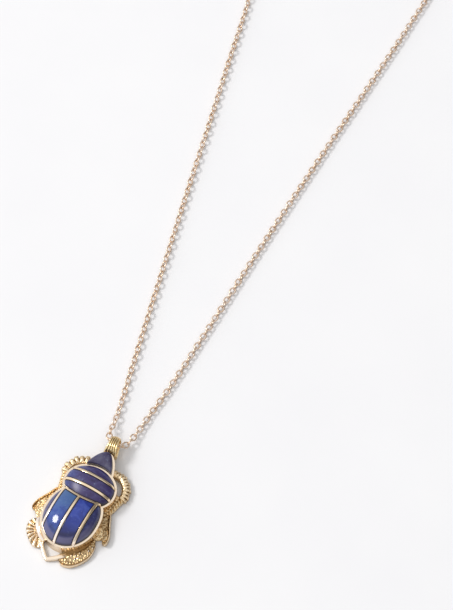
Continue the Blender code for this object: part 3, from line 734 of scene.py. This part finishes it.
def lapis(name, base, light, dark, calcite, roughness=0.09, far=None):
    """Polished lapis: cloudy blues with pale flecks of calcite and a few grains of pyrite.

    far is a second blue, the x and y of the way it takes over along, and where that starts and ends.
    """
    material, tree, shader, add = new_material(name)
    links = tree.links
    where = add("ShaderNodeTexCoord")
    cloud = add("ShaderNodeTexNoise", in_Scale=380.0, in_Detail=6.0, in_Roughness=0.62, in_Distortion=0.8)
    tint = ramp(add, ((0.30, dark), (0.5, base), (0.72, light)))
    fleck = add("ShaderNodeTexNoise", in_Scale=1500.0, in_Detail=4.0, in_Roughness=0.7)
    fleck_mask = ramp(add, ((0.60, (0, 0, 0)), (0.74, (calcite, calcite, calcite))))
    pale = add("ShaderNodeMix", data_type="RGBA")
    pale.inputs["B"].default_value = (*CALCITE, 1.0)
    grain = add("ShaderNodeTexVoronoi", in_Scale=900.0)
    grain_mask = ramp(add, ((0.05, (1, 1, 1)), (0.09, (0, 0, 0))))
    sparse = add("ShaderNodeTexNoise", in_Scale=420.0, in_Detail=1.0)
    sparse_mask = ramp(add, ((0.60, (0, 0, 0)), (0.66, (1, 1, 1))))
    both = add("ShaderNodeMath", operation="MULTIPLY")
    pyrite = add("ShaderNodeMix", data_type="RGBA")
    pyrite.inputs["B"].default_value = (*PYRITE, 1.0)
    # Painted shade: each stone darkens towards its edges by its groove value.
    rim = add("ShaderNodeAttribute", attribute_name="groove")
    edge_shade = add("ShaderNodeMix", data_type="RGBA")
    edge_shade.inputs["B"].default_value = (*EDGE_SHADE_DARK, 1.0)
    # Painted reflection: the greyish band is mixed in by the sheen value.
    sheen_mask = add("ShaderNodeAttribute", attribute_name="painted_sheen")
    reflection_band = add("ShaderNodeMix", data_type="RGBA")
    reflection_band.inputs["B"].default_value = (*PAINTED_REFLECTION_BLUE, 1.0)
    for node in (cloud, fleck, grain, sparse):
        links.new(where.outputs["Object"], node.inputs["Vector"])
    links.new(cloud.outputs["Fac"], tint.inputs["Fac"])
    links.new(fleck.outputs["Fac"], fleck_mask.inputs["Fac"])
    change = add("ShaderNodeMix", data_type="RGBA")
    change.inputs["Factor"].default_value = 0.0
    if far:
        colour, x, y, start, end = far
        change.inputs["B"].default_value = (*colour, 1.0)
        along = add("ShaderNodeVectorMath", operation="DOT_PRODUCT")
        along.inputs[1].default_value = (x / MM, y / MM, 0.0)
        uneven = add("ShaderNodeMath", operation="MULTIPLY_ADD")
        uneven.inputs[1].default_value = CLOUD_SHIFT
        share = add("ShaderNodeMapRange", interpolation_type="SMOOTHSTEP")
        share.inputs["From Min"].default_value = start + CLOUD_SHIFT / 2
        share.inputs["From Max"].default_value = end + CLOUD_SHIFT / 2
        links.new(where.outputs["Object"], along.inputs[0])
        links.new(cloud.outputs["Fac"], uneven.inputs[0])
        links.new(along.outputs["Value"], uneven.inputs[2])
        links.new(uneven.outputs["Value"], share.inputs["Value"])
        links.new(share.outputs["Result"], change.inputs["Factor"])
    links.new(tint.outputs["Color"], change.inputs["A"])
    links.new(change.outputs["Result"], pale.inputs["A"])
    links.new(fleck_mask.outputs["Color"], pale.inputs["Factor"])
    links.new(grain.outputs["Distance"], grain_mask.inputs["Fac"])
    links.new(sparse.outputs["Fac"], sparse_mask.inputs["Fac"])
    links.new(grain_mask.outputs["Color"], both.inputs[0])
    links.new(sparse_mask.outputs["Color"], both.inputs[1])
    links.new(pale.outputs["Result"], pyrite.inputs["A"])
    links.new(both.outputs["Value"], pyrite.inputs["Factor"])
    links.new(pyrite.outputs["Result"], reflection_band.inputs["A"])
    links.new(sheen_mask.outputs["Fac"], reflection_band.inputs["Factor"])
    links.new(reflection_band.outputs["Result"], edge_shade.inputs["A"])
    links.new(rim.outputs["Fac"], edge_shade.inputs["Factor"])
    links.new(edge_shade.outputs["Result"], shader.inputs["Base Color"])
    links.new(both.outputs["Value"], shader.inputs["Metallic"])
    shader.inputs["Roughness"].default_value = roughness
    shader.inputs["IOR"].default_value = 1.5
    return material


def wing_inside(x, y):
    """1 in the middle of the wing cases and 0 at their wall."""
    return 1 - (x / (WING[2] - WALL)) ** 2 - ((y - WING[1]) / (WING[3] - WALL)) ** 2


def wing_sheen(x, y):
    """Painted reflection on the wing stones: strongest in a band along the rear rim."""
    return (1 - eased(wing_inside(x, y), 0.28, 0.40)) * eased(-y, 1.0, 6.0) * 0.85


def wing_shade(x, y):
    """Painted shade: a dark band above the band of painted reflection, at the rear of the wing stones."""
    inside = wing_inside(x, y)
    band = 0.55 * eased(inside, 0.30, 0.42) * (1 - eased(inside, 0.45, 0.62))
    return band * eased(-y + 0.25 * x, 5.0, 8.5)


def unmarked(x, y):
    """A stone without bands."""
    return 0.0


def stone_shell(x_low, x_high, low, high, top, bottom=BASE + STONE_GAP, painted_sheen=unmarked, shade=unmarked,
                side=1.0):
    """Domed tile between two curves, its edges eased, down to bottom; side is how much painted shade darkens
    its edges and sides.
    """
    columns, rows = STONE_STEPS, STONE_STEPS
    xs = cosine_steps(x_low, x_high, columns)
    verts, faces = [], []
    for x in xs:
        y0, y1 = low(x), high(x)
        for j in range(rows + 1):
            y = y0 + (y1 - y0) * (0.5 - 0.5 * math.cos(math.pi * j / rows))
            edge = min(x - x_low, x_high - x, y - y0, y1 - y)
            ease = EDGE_DROP * (1 - min(1.0, edge / EDGE_ROUND)) ** 2
            # Painted shade near the edges and in the dark band of the wing stones; painted reflection in the
            # band along their rear rim.
            dark = max(side * (1 - min(1.0, edge / EDGE_DARK)) ** 1.2, shade(x, y))
            verts.append((x, y, top(x, y) - ease, dark, painted_sheen(x, y)))
    size = rows + 1
    rim = [i * size for i in range(columns + 1)] + [columns * size + j for j in range(1, rows + 1)]
    rim += [i * size + rows for i in range(columns - 1, -1, -1)] + list(range(rows - 1, 0, -1))
    for i in range(columns):
        for j in range(rows):
            a, b = i * size + j, (i + 1) * size + j
            faces.append((a, b, b + 1, a + 1))
    start = len(verts)
    verts += [(verts[i][0], verts[i][1], bottom, side) for i in rim]
    for i in range(len(rim)):
        k = (i + 1) % len(rim)
        faces.append((rim[i], rim[k], start + k, start + i))
    faces.append(tuple(range(start, start + len(rim))))
    return verts, faces


def stone(name, shells, material):
    """Stone of one or two shells in place of its CAD node."""
    thing = joined(name, shells, 55.0)
    thing.data.materials.append(material)
    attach(thing, "root")
    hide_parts(name)


def wing_stones():
    """Four stones of the wing cases."""
    inset = WALL + STONE_GAP
    bar = BAR / 2 + STONE_GAP
    left, middle, right = DIVIDERS

    def low(x):
        return oval_y(WING, x, -1, inset)

    def high(x):
        return min(oval_y(WING, x, 1, inset), seam_y(x) - bar)

    def wing_shell(start, end):
        return stone_shell(start, end, low, high, wing_top, painted_sheen=wing_sheen, shade=wing_shade)

    edge = crossing(low, high, WING[2] - inset) - STONE_GAP
    bright_left = lapis("lapis_left", (0.036, 0.072, 0.30), (0.075, 0.14, 0.37), (0.020, 0.040, 0.21), 0.5,
                        far=((0.052, 0.118, 0.290), 0.2, 1.0, -5.5, 0.5))
    bright_right = lapis("lapis_right", (0.026, 0.052, 0.32), (0.055, 0.095, 0.40), (0.014, 0.026, 0.19),
                         0.3, far=((0.018, 0.024, 0.135), -0.2, -1.0, 3.0, 8.5))
    dull = lapis("lapis_outer", (0.042, 0.045, 0.155), (0.09, 0.11, 0.25), (0.022, 0.018, 0.075), 0.7)
    stone("wing_stone_left_outer", [wing_shell(-edge, left - bar)], dull)
    stone("wing_stone_left_inner", [wing_shell(left + bar, middle - bar)], bright_left)
    stone("wing_stone_right_inner", [wing_shell(middle + bar, right - bar)], bright_right)
    stone("wing_stone_right_outer", [wing_shell(right + bar, edge)], dull)


def thorax_stones():
    """Three stones across the thorax and the one in the head."""
    inset = WALL + STONE_GAP
    bar = BAR / 2 + STONE_GAP
    rear, front = THORAX_BARS
    dull = lapis("lapis_thorax", (0.043, 0.030, 0.125), (0.08, 0.08, 0.21), (0.024, 0.014, 0.065), 0.8, 0.34,
                 far=((0.038, 0.058, 0.215), -1.0, -0.2, 1.0, 5.5))
    limits = {
        "thorax_stone_rear": (lambda x: seam_y(x) + bar, lambda x: rear - bar),
        "thorax_stone_middle": (lambda x: rear + bar, lambda x: front - bar),
        "thorax_stone_front": (lambda x: front + bar, lambda x: oval_y(THORAX, 0.0, 1, inset)),
    }
    for name, (lower, upper) in limits.items():
        def low(x):
            return max(oval_y(THORAX, x, -1, inset), lower(x))

        def high(x):
            return min(oval_y(THORAX, x, 1, inset), upper(x))

        edge = crossing(low, high, THORAX[2] - inset) - STONE_GAP
        stone(name, [stone_shell(-edge, edge, low, high, thorax_top)], dull)

    def head_low(x):
        return oval_y(THORAX, x, 1, -STONE_GAP)

    def head_high(x):
        return head_y(x, 0.08 + (HEAD_WALL - 0.03) * eased(x, -0.5, 2.2))

    left = crossing(head_low, lambda x: head_high(-x), HEAD_HALF - 0.1) - STONE_GAP
    right = crossing(head_low, head_high, HEAD_HALF - HEAD_WALL) - STONE_GAP

    def head_top(x, y):
        along = min(1.0, max(0.0, (y - head_low(x)) / (head_high(x) - head_low(x))))
        across = max(0.0, 1 - ((x + (left - right) / 2) / ((left + right) / 2)) ** 2)
        swell = max(0.0, math.sin(math.pi * along)) * across
        return RIM + HEAD_EDGE + HEAD_CROWN * swell ** DOME_POWER

    head = lapis("lapis_head", (0.050, 0.043, 0.105), (0.11, 0.11, 0.16), (0.030, 0.02, 0.055), 0.8, 0.3)
    cap = stone_shell(-left, right, head_low, head_high, head_top, RIM + 0.01, side=0.3)
    root = stone_shell(-right, right, head_low, lambda x: head_y(x, HEAD_WALL + STONE_GAP),
                       lambda x, y: RIM + HEAD_ROOT)
    stone("head_stone", [cap, root], head)


wing_stones()
thorax_stones()

# Bail: a gold band with five rounded flutes along it, broad at the foot and bent into a drop-shaped loop.
# Its foot follows the front of the head, it leans a little to the left, and the chain runs through it.
BAIL_PATH = ((0.42, 1.9), (0.46, 3.1), (0.75, 4.15), (1.55, 4.8), (2.65, 5.0), (3.75, 4.7), (4.5, 4.0),
             (4.75, 3.0), (4.5, 2.0), (3.75, 1.3), (2.65, 1.0), (1.55, 0.95), (0.7, 1.2))
BAIL_LEAN = 0.15
BAIL_SHIFT = -0.05
BAIL_HUG = 2.6
BAIL_GAP = 0.02
BAIL_NARROW, BAIL_SPREAD = 2.35, 1.45
BAIL_FLUTES, FLUTE_DEPTH = 5, 0.24
BAIL_STEPS = 60


def smooth_loop(points, detail):
    """Closed smooth curve through points."""
    count = len(points)
    curve = []
    for i in range(count):
        a, b, c, d = (np.array(points[(i + k) % count], float) for k in (-1, 0, 1, 2))
        curve += [curve_point(a, b, c, d, step / detail) for step in range(detail)]
    return np.array(curve)


def bail_place(across, along, height):
    """A place on the bail, its foot drawn back round the head and its far end to the left."""
    foot = head_y(across + BAIL_SHIFT) - HEAD_TIP
    hug = max(0.0, 1 - along / BAIL_HUG)
    return (across - BAIL_LEAN * along + BAIL_SHIFT,
            along + foot * hug + BAIL_LEAN * across * (1 - hug) + HEAD_TIP + BAIL_GAP, height)


def bail_mesh():
    """Fluted band along the closed path."""
    path = smooth_loop(BAIL_PATH, 12)
    count = len(path)
    reach = path[:, 0].max()
    verts, faces = [], []
    for i, (y, z) in enumerate(path):
        way = path[(i + 1) % count] - path[i - 1]
        way = way / np.linalg.norm(way)
        width = BAIL_NARROW + BAIL_SPREAD * (1 - y / reach) ** 2
        section = []
        for j in range(BAIL_STEPS + 1):
            u = 2 * j / BAIL_STEPS - 1
            ridge = abs(math.sin(BAIL_FLUTES * math.pi * (u + 1) / 2)) ** 0.75
            # The flute hollows get painted shade.
            section.append((u, 0.12 + 0.3 * (1 - u * u) - FLUTE_DEPTH * (1 - ridge), (1 - ridge) ** 2))
        section += [(1.0, -0.2, 0.0), (0.8, -0.25, 0.0), (-0.8, -0.25, 0.0), (-1.0, -0.2, 0.0)]
        for u, lift, groove in section:
            verts.append((*bail_place(u * width / 2, y - way[1] * lift, z + way[0] * lift), groove))
    size = BAIL_STEPS + 5
    for i in range(count):
        n = (i + 1) % count
        for j in range(size):
            k = (j + 1) % size
            faces.append((i * size + j, n * size + j, n * size + k, i * size + k))
    return mesh_object("bail", verts, faces, 60.0)


bail = bail_mesh()
bail.data.materials.append(gold("bail_gold_polished", (0.96, 0.80, 0.48), 0.24))
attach(bail, "root")
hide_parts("bail")

# Chain: separate oval links of round wire, each turned a quarter against the next, in one closed loop.
# One strand lies with its links flat and upright, the other is twisted by an eighth of a turn.
WIRE_RADIUS = 0.2
LINK_PITCH = 1.58
LINK_WIDTH = 1.85
LINK_OVERLAP = 1.9
LINK_STEPS, WIRE_STEPS = 22, 8
TWIST_START, TWIST_END = (0.42, 0.56), (0.965, 0.99)
WOBBLE_SHARES = (1.0, 0.35, 0.35)
WOBBLE_SEED = 7
STRAND_TWIST, WOBBLE = 45, 6
ROUTE = ((-0.6, 19.9, 3.0), (1.1, 20.2, 2.8), (2.1, 21.6, 2.2), (2.4, 24.4, 1.6), (2.6, 27.7, 1.1),
         (2.8, 32.5, 0.93), (3.5, 42.4, 0.93), (4.0, 62.7, 0.93), (4.4, 83.7, 0.93), (5.0, 105.5, 0.93),
         (5.8, 128.2, 0.93), (6.8, 151.7, 0.93), (7.6, 175.7, 0.93), (7.6, 193.0, 0.93), (4.0, 208.5, 0.93),
         (-6.5, 219.5, 0.93), (-21.0, 223.0, 0.93), (-35.0, 217.0, 0.93), (-43.0, 204.0, 0.93),
         (-44.5, 188.5, 0.93), (-41.0, 173.0, 0.93), (-37.0, 159.7, 0.93), (-31.9, 138.4, 0.93),
         (-26.9, 118.1, 0.93), (-22.1, 98.1, 0.93), (-17.4, 79.0, 0.93), (-12.8, 60.5, 0.93),
         (-8.3, 42.5, 0.93), (-5.6, 32.0, 0.93), (-4.4, 27.0, 1.3), (-3.8, 23.9, 2.0),
         (-3.3, 21.9, 2.6), (-2.3, 20.1, 2.95))


def link_nodes(material):
    """Node group that sets one link at each even step of a closed curve."""
    group = bpy.data.node_groups.new("trace_chain", "GeometryNodeTree")
    face = group.interface
    face.new_socket("Route", in_out="INPUT", socket_type="NodeSocketGeometry")
    for label, kind in (("Links", "NodeSocketInt"), ("Link length", "NodeSocketFloat"),
                        ("Link width", "NodeSocketFloat"), ("Wire radius", "NodeSocketFloat"),
                        ("Strand twist", "NodeSocketFloat"), ("Wobble", "NodeSocketFloat")):
        face.new_socket(label, in_out="INPUT", socket_type=kind)
    face.new_socket("Chain", in_out="OUTPUT", socket_type="NodeSocketGeometry")
    links = group.links
    add = node_maker(group)

    start = add("NodeGroupInput")
    end = add("NodeGroupOutput")
    ring = add("GeometryNodeCurvePrimitiveCircle")
    ring.inputs["Resolution"].default_value = LINK_STEPS
    ring.inputs["Radius"].default_value = 0.5
    size = add("ShaderNodeCombineXYZ")
    size.inputs["Z"].default_value = 1.0
    shape = add("GeometryNodeTransform")
    wire = add("GeometryNodeCurvePrimitiveCircle")
    wire.inputs["Resolution"].default_value = WIRE_STEPS
    tube = add("GeometryNodeCurveToMesh")
    links.new(start.outputs["Link length"], size.inputs["X"])
    links.new(start.outputs["Link width"], size.inputs["Y"])
    links.new(ring.outputs["Curve"], shape.inputs["Geometry"])
    links.new(size.outputs["Vector"], shape.inputs["Scale"])
    links.new(shape.outputs["Geometry"], tube.inputs["Curve"])
    links.new(start.outputs["Wire radius"], wire.inputs["Radius"])
    links.new(wire.outputs["Curve"], tube.inputs["Profile Curve"])

    steps = add("GeometryNodeResampleCurve")
    links.new(start.outputs["Route"], steps.inputs["Curve"])
    links.new(start.outputs["Links"], steps.inputs["Count"])
    tangent = add("GeometryNodeInputTangent")
    aim = add("FunctionNodeAlignRotationToVector", axis="X")
    links.new(tangent.outputs["Tangent"], aim.inputs["Vector"])

    index = add("GeometryNodeInputIndex")
    odd = add("ShaderNodeMath", operation="MODULO")
    odd.inputs[1].default_value = 2.0
    quarter = add("ShaderNodeMath", operation="MULTIPLY")
    quarter.inputs[1].default_value = math.pi / 2
    along = add("GeometryNodeSplineParameter")
    rise = add("ShaderNodeMapRange", interpolation_type="SMOOTHSTEP")
    rise.inputs["From Min"].default_value, rise.inputs["From Max"].default_value = TWIST_START
    fall = add("ShaderNodeMapRange", interpolation_type="SMOOTHSTEP")
    fall.inputs["From Min"].default_value, fall.inputs["From Max"].default_value = TWIST_END
    fall.inputs["To Min"].default_value = 1.0
    fall.inputs["To Max"].default_value = 0.0
    both = add("ShaderNodeMath", operation="MULTIPLY")
    twist = add("ShaderNodeMath", operation="MULTIPLY")
    uneven = add("FunctionNodeRandomValue", data_type="FLOAT_VECTOR")
    uneven.inputs["Seed"].default_value = WOBBLE_SEED
    low = add("ShaderNodeVectorMath", operation="SCALE")
    low.inputs[0].default_value = [-share for share in WOBBLE_SHARES]
    high = add("ShaderNodeVectorMath", operation="SCALE")
    high.inputs[0].default_value = WOBBLE_SHARES
    turn = add("ShaderNodeMath", operation="ADD")
    about = add("ShaderNodeCombineXYZ")
    total = add("ShaderNodeVectorMath", operation="ADD")
    spin = add("FunctionNodeEulerToRotation")
    local = add("FunctionNodeRotateRotation", rotation_space="LOCAL")
    links.new(index.outputs["Index"], odd.inputs[0])
    links.new(odd.outputs["Value"], quarter.inputs[0])
    links.new(along.outputs["Factor"], rise.inputs["Value"])
    links.new(along.outputs["Factor"], fall.inputs["Value"])
    links.new(rise.outputs["Result"], both.inputs[0])
    links.new(fall.outputs["Result"], both.inputs[1])
    links.new(both.outputs["Value"], twist.inputs[0])
    links.new(start.outputs["Strand twist"], twist.inputs[1])
    links.new(quarter.outputs["Value"], turn.inputs[0])
    links.new(twist.outputs["Value"], turn.inputs[1])
    links.new(turn.outputs["Value"], about.inputs["X"])
    links.new(start.outputs["Wobble"], low.inputs["Scale"])
    links.new(start.outputs["Wobble"], high.inputs["Scale"])
    links.new(low.outputs["Vector"], uneven.inputs["Min"])
    links.new(high.outputs["Vector"], uneven.inputs["Max"])
    links.new(about.outputs["Vector"], total.inputs[0])
    links.new(uneven.outputs["Value"], total.inputs[1])
    links.new(total.outputs["Vector"], spin.inputs["Euler"])
    links.new(aim.outputs["Rotation"], local.inputs["Rotation"])
    links.new(spin.outputs["Rotation"], local.inputs["Rotate By"])

    place = add("GeometryNodeInstanceOnPoints")
    solid = add("GeometryNodeRealizeInstances")
    smooth = add("GeometryNodeSetShadeSmooth")
    paint = add("GeometryNodeSetMaterial")
    paint.inputs["Material"].default_value = material
    links.new(steps.outputs["Curve"], place.inputs["Points"])
    links.new(tube.outputs["Mesh"], place.inputs["Instance"])
    links.new(local.outputs["Rotation"], place.inputs["Rotation"])
    links.new(place.outputs["Instances"], smooth.inputs["Geometry"])
    links.new(smooth.outputs["Geometry"], solid.inputs["Geometry"])
    links.new(solid.outputs["Geometry"], paint.inputs["Geometry"])
    links.new(paint.outputs["Geometry"], end.inputs["Chain"])
    return group


def chain_piece():
    """Real links along the route, baked to one mesh."""
    path = smooth_loop(ROUTE, 24)
    closed = np.vstack([path, path[:1]])
    length = float(np.linalg.norm(np.diff(closed, axis=0), axis=1).sum())
    count = 2 * round(length / LINK_PITCH / 2)
    pitch = length / count
    curve = bpy.data.curves.new("route", "CURVE")
    curve.dimensions = "3D"
    spline = curve.splines.new("POLY")
    spline.points.add(len(path) - 1)
    for point, (x, y, z) in zip(spline.points, path):
        point.co = (x * MM, y * MM, z * MM, 1.0)
    spline.use_cyclic_u = True
    route = bpy.data.objects.new("route", curve)
    scene.collection.objects.link(route)
    group = link_nodes(gold("chain_gold_wire", (0.84, 0.69, 0.57), 0.28))
    maker = route.modifiers.new("links", "NODES")
    maker.node_group = group
    values = {"Links": count, "Link length": (pitch + LINK_OVERLAP * WIRE_RADIUS) * MM,
              "Link width": (LINK_WIDTH - 2 * WIRE_RADIUS) * MM, "Wire radius": WIRE_RADIUS * MM,
              "Strand twist": math.radians(STRAND_TWIST), "Wobble": math.radians(WOBBLE)}
    for item in group.interface.items_tree:
        if item.item_type == "SOCKET" and item.in_out == "INPUT" and item.name in values:
            maker[item.identifier] = values[item.name]
    bpy.context.view_layer.update()
    mesh = bpy.data.meshes.new_from_object(route.evaluated_get(bpy.context.evaluated_depsgraph_get()))
    bpy.data.objects.remove(route)
    mesh.name = "chain_links"
    links = bpy.data.objects.new("chain_links", mesh)
    scene.collection.objects.link(links)
    return links


chain = chain_piece()
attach(chain, "root")
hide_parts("chain")
